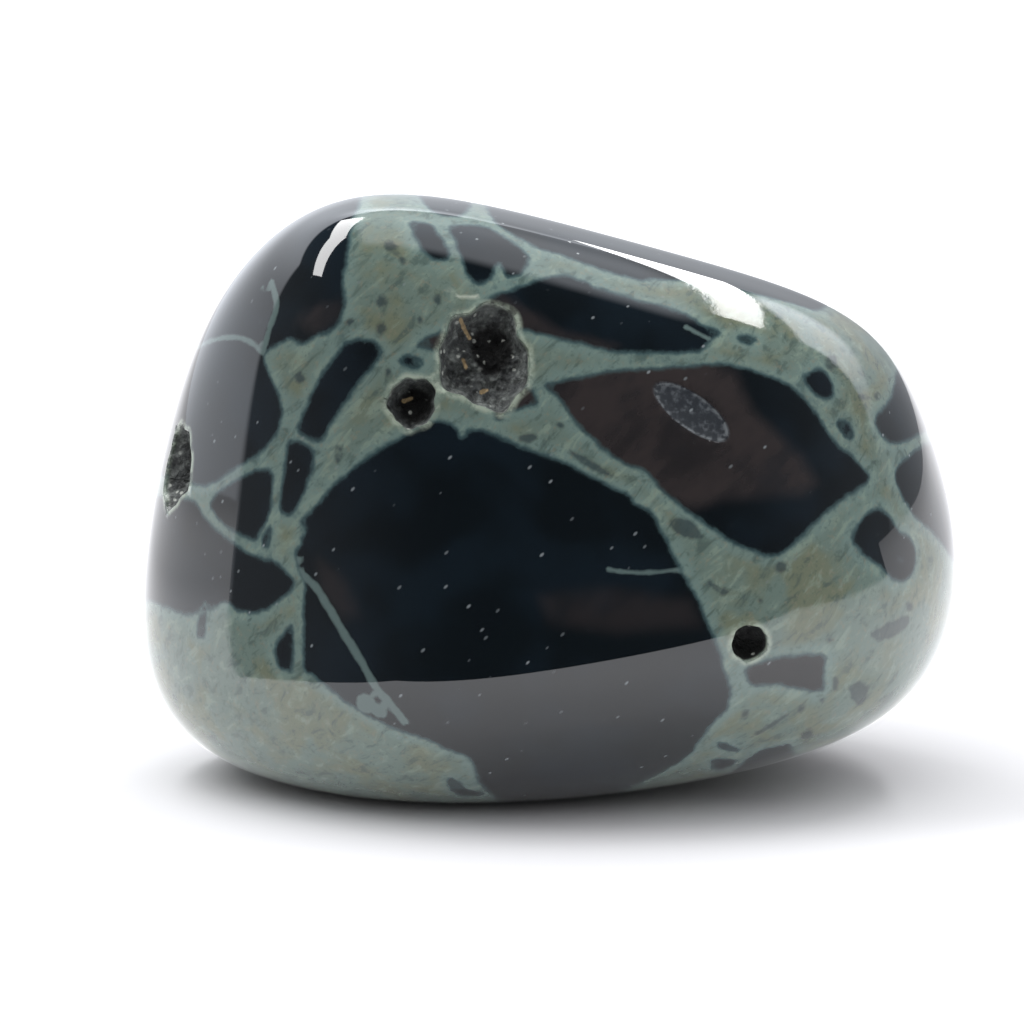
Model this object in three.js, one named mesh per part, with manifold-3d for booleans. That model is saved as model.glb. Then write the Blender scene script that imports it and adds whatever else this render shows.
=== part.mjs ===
// A tumbled stone of brecciated obsidian, 30 mm long, resting on a small flat spot.
// Millimetres, +Z up. The origin is at the bottom, under the middle of the stone's box.
// -Y is the stone's best side. A turn is measured from -Y towards +X, a rise from the
// horizontal upwards, both in degrees.

import * as THREE from 'three';
import { mergeVertices } from 'three/addons/utils/BufferGeometryUtils.js';
import Module from 'manifold-3d';

const wasm = await Module();
wasm.setup();

// The middle of the stone, which every flat and hollow is measured from
const CENTRE = new THREE.Vector3(0.03, 0.26, 10.1);

// The broad flats that tumbling wore on the rough block: each one's direction, and its
// distance from the centre
const FLATS = [
  { name: 'front', turn: 2, rise: 13, distance: 10.6 },
  { name: 'front low', turn: 14, rise: -42, distance: 12.4 },
  { name: 'front left low', turn: -32, rise: -40, distance: 14.5 },
  { name: 'front left', turn: -42, rise: 6, distance: 13.0 },
  { name: 'front right', turn: 50, rise: 6, distance: 14.2 },
  { name: 'front high', turn: 20, rise: 52, distance: 12.3 },
  { name: 'left', turn: -92, rise: 12, distance: 14.6 },
  { name: 'left low', turn: -90, rise: -28, distance: 18.2 },
  { name: 'right', turn: 92, rise: -12, distance: 17.6 },
  { name: 'right high', turn: 92, rise: 24, distance: 14.1 },
  { name: 'right low', turn: 88, rise: -42, distance: 15.6 },
  { name: 'top', turn: 122, rise: 72, distance: 9.9 },
  { name: 'top left', turn: -110, rise: 62, distance: 13.7 },
  { name: 'top left low', turn: -100, rise: 34, distance: 16.1 },
  { name: 'back', turn: 178, rise: 6, distance: 10.8 },
  { name: 'back left', turn: -138, rise: -4, distance: 12.8 },
  { name: 'back right', turn: 136, rise: -2, distance: 12.8 },
  { name: 'back high', turn: 176, rise: 48, distance: 11.2 },
  { name: 'back low', turn: 182, rise: -42, distance: 11.6 },
  { name: 'bottom', turn: 0, rise: -90, distance: 10.7 },
  { name: 'bottom left', turn: -95, rise: -60, distance: 15.6 },
  { name: 'bottom right', turn: 90, rise: -74, distance: 11.6 },
];

// How sharply the flats meet: a higher number leaves tighter corners
const CORNER_POWER = 9;

// Rows of facets along each edge of the icosahedron that the stone is worn from
const STONE_DETAIL = 14;

// The open hollows in the polished skin: where each one's middle is, its size along the
// skin and into it, how far it leans to the right, and how rough its crust is
const HOLLOWS = [
  {
    name: 'vug', turn: -14.3, rise: 35.2,
    width: 3.15, height: 3.75, depth: 1.25, lean: -8, roughness: 0.16, detail: 7,
  },
  {
    name: 'small vug', turn: -27.0, rise: 25.6,
    width: 1.75, height: 1.85, depth: 1.1, lean: 20, roughness: 0.12, detail: 5,
  },
  {
    name: 'round hole', turn: 33.1, rise: -14.2,
    width: 1.35, height: 1.35, depth: 1.0, lean: 0, roughness: 0.05, detail: 4,
  },
  {
    name: 'left vug', turn: -74.0, rise: 7.8,
    width: 2.4, height: 3.1, depth: 1.0, lean: 4, roughness: 0.14, detail: 5,
  },
  {
    name: 'chip', turn: 27.6, rise: 24.5,
    width: 1.3, height: 3.3, depth: 0.14, lean: -52, roughness: 0.0, detail: 5,
  },
];

// How the lumps of a hollow's crust follow each other round it
const LUMP_WAVES = new THREE.Vector3(6.1, 5.3, 4.7);

// The block below the resting spot that is cut away
const FLOOR_BLOCK = { width: 60, height: 10 };

const STONE_COLOUR = 0x39443f;
const STONE_ROUGHNESS = 0.08;


function direction(turn, rise) {
  const t = THREE.MathUtils.degToRad(turn);
  const r = THREE.MathUtils.degToRad(rise);
  return new THREE.Vector3(
    Math.sin(t) * Math.cos(r),
    -Math.cos(t) * Math.cos(r),
    Math.sin(r),
  );
}

const NORMALS = FLATS.map((flat) => direction(flat.turn, flat.rise));

// How far the skin is from the centre, along a unit direction
function reach(along) {
  let sum = 0;
  FLATS.forEach((flat, i) => {
    const share = Math.max(0, NORMALS[i].dot(along) / flat.distance);
    sum += share ** CORNER_POWER;
  });
  return sum ** (-1 / CORNER_POWER);
}

// The skin's outward direction there, from how the reach changes with the direction
function skinNormal(along) {
  const normal = new THREE.Vector3();
  FLATS.forEach((flat, i) => {
    const share = Math.max(0, NORMALS[i].dot(along) / flat.distance);
    normal.addScaledVector(NORMALS[i], share ** (CORNER_POWER - 1) / flat.distance);
  });
  return normal.normalize();
}

// An icosphere whose every vertex is moved by the given function, as one closed mesh
function shapedSphere(detail, move) {
  const sphere = new THREE.IcosahedronGeometry(1, detail);
  sphere.deleteAttribute('normal');
  sphere.deleteAttribute('uv');
  const geometry = mergeVertices(sphere, 1e-5);
  const position = geometry.attributes.position;
  const point = new THREE.Vector3();
  for (let i = 0; i < position.count; i += 1) {
    point.fromBufferAttribute(position, i);
    const moved = move(point.normalize());
    position.setXYZ(i, moved.x, moved.y, moved.z);
  }
  return geometry;
}

function toSolid(geometry) {
  return new wasm.Manifold(new wasm.Mesh({
    numProp: 3,
    vertProperties: new Float32Array(geometry.attributes.position.array),
    triVerts: new Uint32Array(geometry.index.array),
  }));
}

function toGeometry(solid) {
  const mesh = solid.getMesh();
  const geometry = new THREE.BufferGeometry();
  geometry.setAttribute('position', new THREE.BufferAttribute(mesh.vertProperties, 3));
  geometry.setIndex(new THREE.BufferAttribute(mesh.triVerts, 1));
  return geometry;
}

// The worn block, before anything is cut from it
function wornBlock() {
  return shapedSphere(STONE_DETAIL, (along) => (
    along.clone().multiplyScalar(reach(along)).add(CENTRE)
  ));
}

// What is missing where a hollow is: a lumpy ball, half sunk in the skin
function hollowBall(hollow) {
  const out = direction(hollow.turn, hollow.rise);
  const place = out.clone().multiplyScalar(reach(out)).add(CENTRE);
  const facing = skinNormal(out);
  const frame = new THREE.Matrix4().lookAt(facing, new THREE.Vector3(), new THREE.Vector3(0, 0, 1));
  frame.multiply(new THREE.Matrix4().makeRotationZ(THREE.MathUtils.degToRad(-hollow.lean)));
  frame.setPosition(place);
  return shapedSphere(hollow.detail, (along) => {
    const lump = Math.sin(LUMP_WAVES.x * along.x + 1)
      * Math.sin(LUMP_WAVES.y * along.y + 2)
      * Math.sin(LUMP_WAVES.z * along.z + 1);
    const size = 1 + hollow.roughness * lump;
    return new THREE.Vector3(
      along.x * size * hollow.width / 2,
      along.y * size * hollow.height / 2,
      along.z * size * hollow.depth,
    ).applyMatrix4(frame);
  });
}

// Everything below the resting spot
function floorBlock() {
  const block = new THREE.BoxGeometry(FLOOR_BLOCK.width, FLOOR_BLOCK.width, FLOOR_BLOCK.height);
  block.deleteAttribute('normal');
  block.deleteAttribute('uv');
  block.translate(0, 0, -FLOOR_BLOCK.height / 2);
  return mergeVertices(block, 1e-5);
}

function makeStone() {
  let solid = toSolid(wornBlock()).subtract(toSolid(floorBlock()));
  HOLLOWS.forEach((hollow) => {
    solid = solid.subtract(toSolid(hollowBall(hollow)));
  });
  const material = new THREE.MeshStandardMaterial({
    color: STONE_COLOUR,
    roughness: STONE_ROUGHNESS,
    metalness: 0,
  });
  const mesh = new THREE.Mesh(toGeometry(solid), material);
  mesh.name = 'stone';
  return mesh;
}

const stone = new THREE.Group();
stone.add(makeStone());

export default stone;
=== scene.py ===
"""A tumbled stone of brecciated obsidian, dressed for its portrait.

The stone is one closed mesh on the same worn shape as its solid. The glass shards that face
the camera follow outlines read in the photograph's 1024 pixel frame, and each outline
is carried onto the stone along the camera's rays. The mesh has its edges along those
outlines, and each vertex holds how far it is from them, which the material turns into glass,
matrix and veins. Round the sides and the back, the shards follow a seeded rule instead.

Lengths are millimetres until a mesh is made, and metres in Blender. A turn is measured
from -Y, the stone's best side, towards +X, and a rise from the horizontal upwards.
"""

import math

import bpy
import numpy as np
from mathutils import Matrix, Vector, kdtree, noise
from mathutils.geometry import delaunay_2d_cdt


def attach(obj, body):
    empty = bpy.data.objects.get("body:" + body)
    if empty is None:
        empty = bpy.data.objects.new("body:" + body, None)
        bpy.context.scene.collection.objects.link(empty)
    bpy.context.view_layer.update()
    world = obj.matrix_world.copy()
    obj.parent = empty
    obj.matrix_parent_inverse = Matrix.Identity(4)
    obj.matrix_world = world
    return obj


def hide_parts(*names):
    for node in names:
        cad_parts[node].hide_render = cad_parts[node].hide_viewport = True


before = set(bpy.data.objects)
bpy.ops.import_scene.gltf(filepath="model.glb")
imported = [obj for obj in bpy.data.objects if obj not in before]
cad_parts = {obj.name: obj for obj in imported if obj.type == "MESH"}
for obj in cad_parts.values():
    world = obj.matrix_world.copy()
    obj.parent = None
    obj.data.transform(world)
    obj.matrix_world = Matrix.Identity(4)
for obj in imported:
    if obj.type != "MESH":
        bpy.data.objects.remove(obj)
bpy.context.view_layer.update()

MM = 0.001

# The worn shape, as in the solid: the centre, and each flat's turn, rise and distance
CENTRE = np.array((0.03, 0.26, 10.1))
FLATS = {
    "front": (2, 13, 10.6),
    "front low": (14, -42, 12.4),
    "front left low": (-32, -40, 14.5),
    "front left": (-42, 6, 13.0),
    "front right": (50, 6, 14.2),
    "front high": (20, 52, 12.3),
    "left": (-92, 12, 14.6),
    "left low": (-90, -28, 18.2),
    "right": (92, -12, 17.6),
    "right high": (92, 24, 14.1),
    "right low": (88, -42, 15.6),
    "top": (122, 72, 9.9),
    "top left": (-110, 62, 13.7),
    "top left low": (-100, 34, 16.1),
    "back": (178, 6, 10.8),
    "back left": (-138, -4, 12.8),
    "back right": (136, -2, 12.8),
    "back high": (176, 48, 11.2),
    "back low": (182, -42, 11.6),
    "bottom": (0, -90, 10.7),
    "bottom left": (-95, -60, 15.6),
    "bottom right": (90, -74, 11.6),
}
CORNER_POWER = 9
# The resting spot's edge is much tighter than the other corners
REST_POWER = 60

# The camera, and how the photograph's pixels measure the stone
CAMERA_RISE = 10.0
CAMERA_DISTANCE = 200.0
PICTURE_PIXELS = 1024
PIXEL = 30.0 / 820
CENTRE_PIXEL = np.array((550.0, 501.0))
SENSOR_WIDTH = 36.0
CLIP_NEAR = 10.0
CLIP_FAR = 10000.0

# How far before and beyond its aim each ray is searched, and in how many steps
SEARCH_REACH = 30.0
NEAREST_ROUNDS = 40
RIM_ROUNDS = 24
SKIN_ROUNDS = 36

# How closely the mesh is sampled; the hollows reach a little past their edge, and their
# outlines are drawn finer
LATTICE_POINTS = 36000
OUTLINE_STEP = 0.13
RING_OFFSET = 0.07
SEARCH_STEP = 0.03
HOLLOW_STEP = 0.05
SAMPLED_SHARE = 0.55
HOLLOW_EDGE_FINENESS = 1.6

# Worn corners of the outlines, in shares of a side, and the step along crystals in pixels
CORNER_CUT = 0.2
CRYSTAL_STEP = 2.0

# Distances that the vertices hold stop here
FAR_AWAY = 3.0
TINY = 1e-9

# How the rock breaks up on the sides and the back: the size of a shard, the share that is
# missing, how far back they begin, and the least and the most that one draws back
SIDE_BREAKS = (
    dict(cell=6.6, missing=0.16, from_y=1.0, thin=0.16, thick=0.75),
    dict(cell=2.7, missing=0.62, from_y=0.5, thin=0.14, thick=0.40),
)
SIDE_SEED = 11
BREAKS_REACH = 24
NEIGHBOURS = 12

# Where those shards begin, before the seen rim, and the matrix left between them and the
# rim and the drawn shards; a radius turns how the skin faces into a way along it
BEFORE_RIM = 2.0
RIM_CLEARANCE = 0.4
DRAWN_CLEARANCE = 0.35
MIDDLE_RADIUS = 12

# The open hollows, as in the solid: turn, rise, width, height, depth, lean, how lumpy the
# crust is, and the painted shade's place (across, above) and size in shares of the hollow
HOLLOWS = {
    "vug": dict(
        turn=-14.3, rise=35.2, width=3.15, height=3.75, depth=1.2, lean=-8, crust=0.30,
        painted_shade=(0.22, 0.22), painted_shade_size=0.62,
    ),
    "small vug": dict(
        turn=-27.0, rise=25.6, width=1.7, height=1.8, depth=1.05, lean=20, crust=0.22,
        painted_shade=(0.08, -0.05), painted_shade_size=0.95,
    ),
    "round hole": dict(
        turn=33.1, rise=-14.2, width=1.3, height=1.3, depth=0.95, lean=0, crust=0.10,
        painted_shade=(0.0, 0.0), painted_shade_size=1.5,
    ),
    "left vug": dict(
        turn=-74.0, rise=7.8, width=2.4, height=3.1, depth=0.95, lean=4, crust=0.26,
        painted_shade=(0.0, 0.35), painted_shade_size=0.8,
    ),
    "chip": dict(
        turn=27.6, rise=24.5, width=1.3, height=3.3, depth=0.13, lean=-52, crust=0.02,
        painted_shade=(0.0, 0.0), painted_shade_size=0.0,
    ),
}

# A hollow with less crust than this has none
LEAST_CRUST = 0.05
# How a hollow's outline wavers: share of its crust, waves round it, and turns of the start
RAGGED_WAVES = ((0.22, 3, 1), (0.18, 5, 2), (0.12, 9, 3))
# Lumps of crust in a millimetre, and how its wall and its lumps rise from the edge inwards
COARSE_LUMPS = 1.9
FINE_LUMPS = 4.4
CRUST_GRIT = 9.0
BOWL_POWER = 0.62
LUMPS_RISE = 3.2
CRUST_RISE = 6
# What lies this far behind a hollow is on the other side of the stone
BEHIND_HOLLOW = 4
# The chip keeps its faces' own normals up to just past its edge
CHIP_REACH = 1.04
CHIP_SHARPNESS = 25

# Tan crystals in the hollows: each one's two ends, in pixels
CRYSTALS = [
    ((461, 318), (470, 332)), ((464, 354), (467, 361)), ((482, 388), (488, 384)),
    ((401, 399), (408, 396)), ((177, 470), (184, 479)), ((178, 488), (182, 493)),
]

# Black glass shards: outlines in the photograph's pixels. Those that meet the stone's rim
# go on past it, by as many pixels as the shard goes on round the side.
SHARDS = {
    "great": [
        (298, 521), (314, 507), (332, 485), (353, 467), (375, 451), (400, 437), (424, 421),
        (437, 419), (456, 424), (462, 439), (467, 427), (492, 432), (518, 445), (540, 452),
        (561, 459), (587, 473), (613, 487), (630, 494), (635, 504), (647, 508), (655, 514),
        (663, 532), (675, 556), (687, 580), (696, 592), (705, 615), (717, 640), (726, 670),
        (733, 692), (728, 710), (714, 722), (702, 738), (693, 753), (678, 764), (655, 776),
        (640, 783), (612, 800), (560, 820), (505, 815), (492, 795), (476, 781), (474, 767),
        (465, 755), (448, 751), (428, 740), (407, 734), (376, 721), (350, 706), (330, 690),
        (312, 676), (303, 671), (302, 640), (303, 600), (305, 585), (299, 574), (296, 562),
        (294, 552), (301, 544), (300, 537), (306, 533), (304, 526),
    ],
    "brown": [
        (542, 384), (575, 377), (620, 369), (658, 367), (691, 365), (715, 362), (741, 366),
        (766, 374), (790, 383), (807, 400), (821, 419), (833, 440), (849, 452), (862, 466),
        (871, 476), (868, 485), (847, 497), (830, 511), (807, 532), (788, 551), (776, 558),
        (752, 553), (733, 544), (705, 525), (686, 511), (667, 497), (653, 482), (644, 471),
        (627, 466), (611, 457), (592, 440), (575, 423), (561, 402), (549, 391),
    ],
    "upper": [
        (479, 306), (488, 299), (496, 292), (511, 289), (525, 283), (547, 276), (566, 274),
        (582, 280), (601, 289), (634, 298), (672, 308), (693, 317), (703, 324), (720, 331),
        (717, 337), (708, 344), (704, 349), (700, 353), (682, 354), (634, 354), (615, 353),
        (587, 346), (560, 340), (538, 334), (523, 331), (508, 326), (494, 318),
    ],
    "top first": [
        (408, 221), (430, 223), (438, 230), (447, 244), (452, 256), (446, 262), (432, 261),
        (420, 250), (413, 236),
    ],
    "top second": [
        (446, 226), (462, 224), (487, 226), (505, 237), (519, 246), (531, 256), (529, 266),
        (520, 276), (507, 279), (502, 272), (500, 263), (495, 268), (495, 276), (487, 284),
        (474, 284), (466, 276), (462, 262), (456, 246),
    ],
    "top rim": [
        (492, 219), (498, 226), (512, 235), (522, 240), (537, 249), (562, 256), (582, 263),
        (606, 272), (638, 281), (655, 280), (690, 281), (720, 285), (747, 292), (775, 299),
        (798, 306), (818, 312), (829, 306), (846, 290), (842, 240), (800, 180), (720, 140),
        (620, 120), (540, 128), (492, 160), (482, 200),
    ],
    "top rim left": [
        (421, 200), (429, 211), (446, 217), (460, 217), (470, 211), (474, 196), (468, 160),
        (440, 138), (410, 150), (406, 182),
    ],
    "left": [
        (362, 199), (353, 222), (349, 251), (345, 274), (344, 295), (347, 303), (341, 322),
        (332, 332), (326, 336), (320, 334), (302, 347), (290, 338), (279, 346), (268, 350),
        (264, 358), (269, 371), (280, 396), (283, 412), (280, 430), (270, 445), (250, 461),
        (230, 473), (214, 484), (202, 488), (190, 483), (170, 478), (130, 470), (95, 455),
        (84, 410), (98, 350), (128, 290), (172, 232), (226, 182), (288, 146), (345, 140),
        (368, 165),
    ],
    "left slender": [
        (344, 343), (349, 339), (362, 337), (374, 341), (385, 351), (381, 358), (370, 370),
        (359, 384), (348, 401), (336, 418), (326, 436), (320, 443), (314, 442), (298, 434),
        (296, 427), (307, 403), (318, 379), (331, 360),
    ],
    "left slender low": [
        (288, 439), (297, 440), (315, 448), (315, 464), (305, 494), (295, 512), (288, 518),
        (281, 514), (279, 506), (282, 482), (285, 456),
    ],
    "left triangle": [
        (214, 494), (229, 483), (248, 473), (260, 467), (274, 471), (273, 495), (270, 516),
        (260, 532), (257, 542), (248, 540), (231, 531), (216, 518), (209, 504),
    ],
    "left grain": [(270, 523), (273, 533), (270, 549), (262, 547), (262, 537)],
    "left low": [
        (198, 504), (207, 520), (222, 533), (240, 547), (257, 556), (277, 561), (284, 569),
        (296, 581), (293, 590), (279, 602), (267, 611), (252, 614), (238, 613), (232, 607),
        (226, 602), (215, 609), (202, 612), (188, 616), (171, 611), (158, 604), (130, 598),
        (98, 584), (82, 556), (88, 520), (108, 500), (140, 494), (170, 496), (188, 497),
    ],
    "left chip": [
        (294, 624), (284, 630), (274, 647), (274, 658), (281, 671), (291, 673), (294, 668),
    ],
    "left sliver": [(205, 602), (207, 613), (205, 638), (196, 638), (197, 622), (201, 609)],
    "bottom chip": [(447, 778), (454, 778), (466, 788), (487, 795), (462, 797), (448, 789)],
    "pit triangle": [(447, 329), (450, 345), (443, 353), (428, 350), (414, 347), (427, 336)],
    "pit blob": [(398, 359), (405, 353), (423, 358), (425, 366), (411, 370), (400, 364)],
    "pit right": [
        (519, 382), (531, 386), (540, 403), (534, 407), (509, 412), (501, 421), (495, 421),
        (490, 405), (505, 396),
    ],
    "right first": [
        (800, 376), (820, 366), (828, 374), (834, 385), (834, 397), (826, 402), (813, 395),
    ],
    "right second": [(835, 422), (848, 418), (855, 434), (852, 442), (841, 435)],
    "right upper chip": [(736, 337), (747, 334), (759, 339), (752, 346), (741, 344)],
    "right rim": [
        (894, 382), (891, 396), (885, 405), (876, 413), (873, 424), (882, 437), (893, 446),
        (909, 441), (921, 434), (936, 427), (962, 420), (990, 400), (986, 366), (952, 340),
        (915, 345), (898, 364),
    ],
    "right rim low": [
        (930, 441), (917, 448), (900, 461), (894, 472), (896, 485), (904, 502), (917, 520),
        (930, 531), (943, 546), (952, 560), (976, 588), (1008, 584), (1034, 540),
        (1034, 488), (1012, 448), (976, 430), (946, 434),
    ],
    "right kite": [
        (866, 513), (880, 506), (891, 517), (898, 530), (909, 535), (917, 550), (915, 567),
        (911, 578), (898, 584), (883, 570), (865, 557), (850, 541), (853, 530),
    ],
    "rectangle": [
        (743, 667), (772, 657), (803, 653), (829, 655), (824, 670), (826, 693), (804, 691),
        (774, 685), (749, 687),
    ],
    "bottom black": [
        (715, 782), (732, 772), (747, 759), (762, 749), (782, 745), (790, 743), (795, 752),
        (798, 762), (792, 778), (762, 802), (722, 812), (694, 800),
    ],
    "bottom right chip": [(709, 760), (720, 758), (738, 760), (732, 766), (715, 772)],
    "bottom right grain": [(715, 743), (722, 741), (740, 749), (738, 753), (720, 749)],
}

# Thinner or cloudier shards, which show more of the matrix through them
CLOUDY_SHARDS = {
    "grey sliver": [(566, 449), (587, 457), (618, 478), (611, 478), (583, 466)],
    "grey blob": [(518, 436), (528, 433), (538, 435), (537, 440), (527, 443), (518, 440)],
    "oval": [(668, 522), (677, 516), (692, 521), (702, 533), (705, 539), (690, 539), (675, 533)],
    "right grey": [
        (868, 634), (881, 626), (898, 619), (911, 612), (909, 626), (893, 638), (877, 642),
    ],
    "right patch": [
        (847, 686), (860, 680), (870, 686), (866, 700), (859, 707), (852, 700),
    ],
    "right upper patch": [(826, 357), (836, 353), (838, 363), (833, 371), (824, 367)],
    "right strip": [(833, 676), (839, 678), (837, 693), (832, 691)],
    "thin line": [(747, 740), (762, 728), (787, 713), (788, 717), (764, 732)],
}

# Dark grains in the matrix: middle and radius, in pixels
GRAINS = [
    (863, 397, 4.0), (877, 397, 4.0), (781, 567, 7.0), (725, 592, 5.0), (710, 584, 3.0),
    (807, 734, 6.0), (438, 300, 5.0), (381, 301, 6.0), (381, 329, 7.0), (390, 246, 6.0),
    (402, 260, 4.0), (745, 714, 4.5), (822, 699, 4.0), (802, 709, 4.0), (340, 449, 4.0),
    (338, 461, 3.5), (349, 322, 4.0), (420, 320, 3.0), (300, 378, 5.0), (388, 372, 4.0),
    (909, 607, 5.0), (830, 640, 4.0), (760, 600, 3.0), (560, 425, 3.5), (900, 560, 3.0),
]

# Pale veins that cross the glass: half width in pixels, then the line
VEINS = {
    "spur": (2.0, [(608, 569), (623, 572), (639, 573), (660, 572), (688, 569)]),
    "diagonal": (
        4.2,
        [(299, 572), (314, 584), (331, 611), (348, 640), (362, 663), (374, 686), (390, 704),
         (405, 722)],
    ),
    "vertical": (3.4, [(300, 580), (298, 600), (298, 620), (298, 645), (298, 676)]),
    "left tongue": (3.6, [(271, 282), (277, 299), (276, 311), (271, 323), (267, 338), (263, 352)]),
    "left bow": (
        2.8,
        [(262, 352), (251, 342), (238, 337), (221, 338), (207, 342), (190, 352), (160, 368),
         (120, 388)],
    ),
    "slender cut": (1.6, [(285, 435), (297, 437), (315, 446)]),
    "streak": (2.4, [(686, 327), (697, 333), (709, 339)]),
    "right": (2.4, [(898, 456), (911, 446), (925, 435), (945, 428)]),
}

# Pale blobs where the veins swell: middle and radius, in pixels
VEIN_BLOBS = [(366, 704, 11.0), (380, 712, 8.0), (262, 290, 4.0), (300, 560, 5.0)]

# Whitish scars on the polish
SCARS = {
    "arc": [(446, 287), (452, 293), (462, 297), (474, 298), (484, 294)],
}

# Where the glass is brown rather than black: outline, how far it
# fades in pixels, and how strong it is
BROWN_ZONES = {
    "brown": (
        [(530, 380), (620, 362), (700, 358), (735, 372), (752, 412), (776, 433), (800, 456),
         (816, 482), (800, 494), (752, 497), (717, 501), (691, 509), (650, 490), (590, 450)],
        14.0, 1.0,
    ),
    "upper": ([(480, 300), (500, 292), (560, 330), (620, 346), (600, 358), (500, 335)], 8.0, 0.7),
    "pit right": ([(480, 380), (548, 378), (548, 425), (484, 425)], 6.0, 0.9),
    "pit triangle": ([(408, 325), (455, 325), (455, 356), (408, 356)], 6.0, 0.9),
    "left": ([(295, 322), (318, 305), (345, 300), (340, 318), (316, 334)], 8.0, 0.8),
    "great low": ([(540, 598), (600, 588), (690, 600), (700, 625), (620, 632), (550, 622)], 16.0, 0.5),
    "great left": ([(318, 560), (345, 580), (360, 615), (345, 622), (322, 590)], 12.0, 0.55),
    "rectangle": ([(735, 650), (835, 650), (835, 700), (735, 700)], 6.0, 0.4),
}

# How bright the light on the stone is, so that colours can be given as they look
LIGHT_LEVEL = 1.85

# Colours as they look, out of 255
COLOURS = {
    "olive": (108, 115, 97),
    "sage": (103, 120, 112),
    "teal": (110, 131, 126),
    "pale sage": (134, 150, 136),
    "dark sage": (70, 86, 82),
    "tan flour": (124, 122, 106),
    "border": (70, 92, 94),
    "black glass": (14, 20, 24),
    "blue glass": (19, 28, 35),
    "brown glass": (53, 48, 48),
    "cloudy": (46, 57, 62),
    "vein": (98, 116, 114),
    "halo": (170, 182, 166),
    "scar": (182, 190, 176),
    # Black crust grains, and the painted shade deep in the hollows
    "black": (17, 18, 18),
    "charcoal": (66, 70, 71),
    "grey": (138, 144, 140),
    "painted_glint": (206, 210, 202),
    "tan crystal": (196, 170, 126),
    "chip": (47, 53, 60),
    "scuffed chip": (86, 92, 98),
    "chip rim highlight": (120, 126, 130),
    "dust": (140, 148, 152),
}

# Where each colour begins and is full, in millimetres inside the glass
TEAL_EDGE = (-0.62, -0.12)
BORDER_EDGE = (-0.11, 0.04)
GLASS_EDGE = (-0.05, 0.19)
VEINED_EDGE = (-0.05, 0.12)
# The same inside a cloudy shard, and outside a vein, a hollow, a scar and a crystal
CLOUDY_EDGE = (-0.09, 0.10)
VEIN_EDGE = (0.05, -0.07)
HALO_EDGE = (0.26, 0.03)
SCAR_EDGE = (0.15, 0.03)
CRYSTAL_EDGE = (0.17, 0.12)
# The same in shares of the way into a crusted hollow and into the chip
CRUST_EDGE = (0.25, 0.6)
CHIP_EDGE = (0.0, 0.12)
# How far the edges waver
EDGE_WAVE = 0.09

# Specks of dust on the polish: how many fit in a millimetre, how much of its cell a speck
# fills, and the least chance that shows one
SPECKS_PER_MM = 1.8
SPECK_SIZE = 0.13
LEAST_SPECK = 0.10

# The finish, and how high its relief stands in millimetres
GLASS_IOR = 1.5
GLASS_ROUGHNESS = 0.03
MATRIX_ROUGHNESS = 0.06
CHIP_ROUGHNESS = 0.34
DUST_ROUGHNESS = 0.4
CRUST_ROUGHNESS = 0.62
MATRIX_RELIEF = 0.002
CRUST_RELIEF = 0.16

# The white table's corners, as its reflection in the stone shows them
TABLE = [
    (-900, -8), (-23, -7), (-12, -22), (45, -50), (110, 8), (900, 60), (900, 900), (-900, 900),
]

# The table is overexposed in the photograph: it is seen less bright than it lights the stone,
# so that its shadow shows. In the polish it darkens with the distance from the stone.
TABLE_WHITE = 0.9
TABLE_SEEN = 0.45
TABLE_MIRRORED_FAR = 0.58
TABLE_FADES = (18.0, 100.0)
COOL_WHITE = (0.99, 0.993, 1.02)

# The soft light that falls on the stone from its front, its back and above, and the
# backdrop behind it
HORIZON_FRONT = (0.22, 0.22, 0.225)
HORIZON_BACK = (0.6, 0.6, 0.61)
ZENITH = (3.0, 3.0, 3.03)
BACKDROP = (1.1, 1.1, 1.1)

# What the polish mirrors: the tint of the white tent, the lowest rise that is laid out on
# its ceiling, and how bright the dark room is in front and at its sides
MIRROR_TINT = (0.94, 0.98, 1.05)
LEAST_HEIGHT = 0.05
ROOM_FRONT = 0.025
ROOM_SIDES = 0.28

# Strip lights on the ceiling of the tent, at its height: middle, length and width on a
# ceiling one unit above the stone, turn of the strip, and how many times brighter than
# white it is
CEILING = 300.0
STRIPS = {
    "strip_right": ((0.437, 0.76), 1.45, 0.125, 93.0, 14.0),
    "strip_left": ((-0.375, 0.325), 0.60, 0.21, 70.0, 14.0),
    "strip_left_low": ((-0.82, -0.27), 1.00, 0.22, 43.0, 14.0),
}


def direction(turn, rise):
    t = math.radians(turn)
    r = math.radians(rise)
    return np.array((math.sin(t) * math.cos(r), -math.cos(t) * math.cos(r), math.sin(r)))


def unit(rows):
    return rows / np.linalg.norm(rows, axis=-1, keepdims=True)


FLAT_NORMALS = np.array([direction(turn, rise) for turn, rise, _ in FLATS.values()])
FLAT_DISTANCES = np.array([distance for _, _, distance in FLATS.values()])

VIEW_BACK = direction(0, CAMERA_RISE)
VIEW_RIGHT = np.array((1.0, 0.0, 0.0))
VIEW_UP = np.cross(VIEW_BACK, VIEW_RIGHT)
PICTURE_MIDDLE = np.array((PICTURE_PIXELS / 2, PICTURE_PIXELS / 2))
AIM_OFFSET = (PICTURE_MIDDLE - CENTRE_PIXEL) * PIXEL
AIM = CENTRE + AIM_OFFSET[0] * VIEW_RIGHT - AIM_OFFSET[1] * VIEW_UP
EYE = AIM + CAMERA_DISTANCE * VIEW_BACK


# The worn shape

def worn_level(offsets):
    """1 on the worn skin, less inside; offsets are from the centre."""
    shares = np.maximum(0, offsets @ FLAT_NORMALS.T / FLAT_DISTANCES)
    return (shares ** CORNER_POWER).sum(-1) ** (1 / CORNER_POWER)


def skin_level(offsets):
    """The same, with the resting spot."""
    worn = worn_level(offsets)
    rest = np.maximum(0, -offsets[..., 2] / CENTRE[2])
    return (worn ** REST_POWER + rest ** REST_POWER) ** (1 / REST_POWER)


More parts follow.
